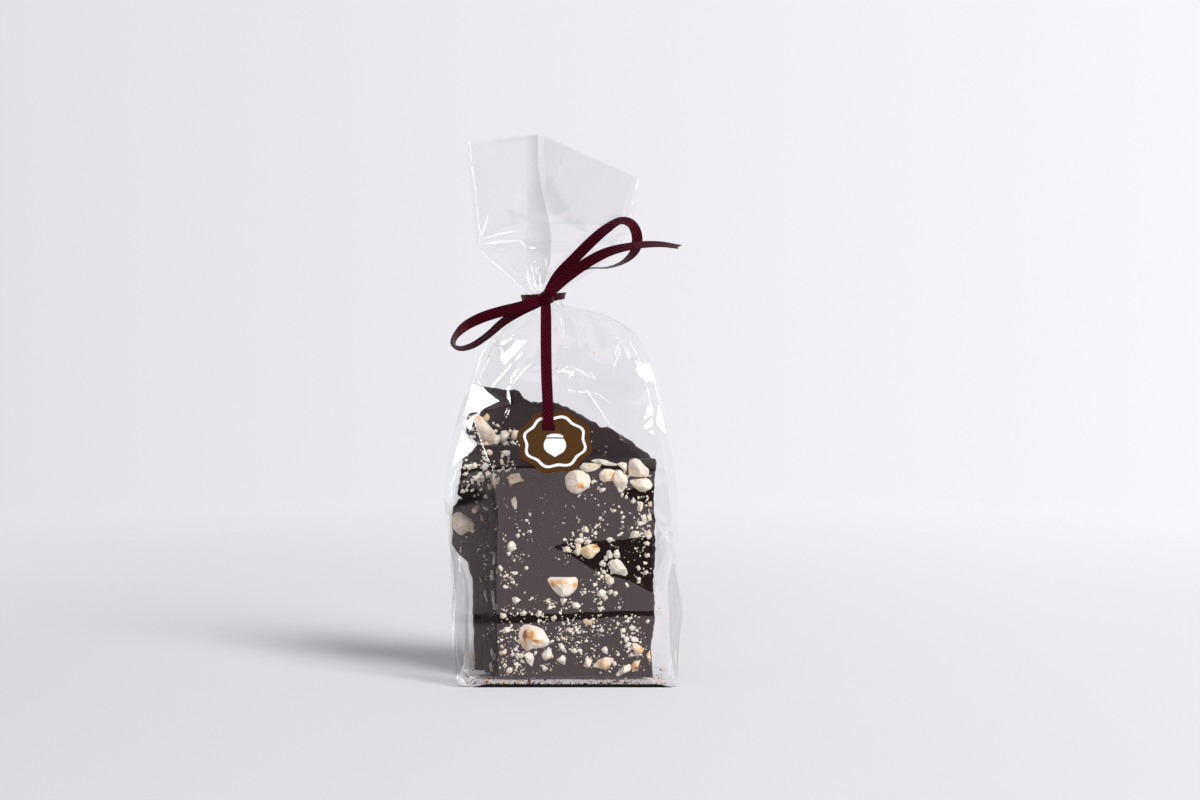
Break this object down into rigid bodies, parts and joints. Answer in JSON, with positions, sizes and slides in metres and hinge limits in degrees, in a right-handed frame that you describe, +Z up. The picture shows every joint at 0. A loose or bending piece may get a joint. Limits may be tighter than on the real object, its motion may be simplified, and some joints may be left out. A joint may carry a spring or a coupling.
{
  "type": "bag of chocolate bark",
  "caption": "Standing clear gift bag of dark chocolate and hazelnut bark, gathered at the neck with a narrow ribbon bow and a scalloped card tag.",
  "frame": {"origin": "middle of the flat base that the bag stands on", "axes": "+Z up, the front of the bag with the tag towards -Y, +X to the right seen from the front"},
  "size_m": [0.121, 0.0596, 0.2784],
  "materials": {
    "film": "clear glossy film",
    "chocolate": "satin dark chocolate",
    "hazelnut": "roasted and chopped",
    "satin": "burgundy satin weave",
    "card": "printed matt card"
  },
  "bodies": {
    "root": {"bag": "film", "ribbon": "satin", "tag": "card"}
  },
  "joints": []
}
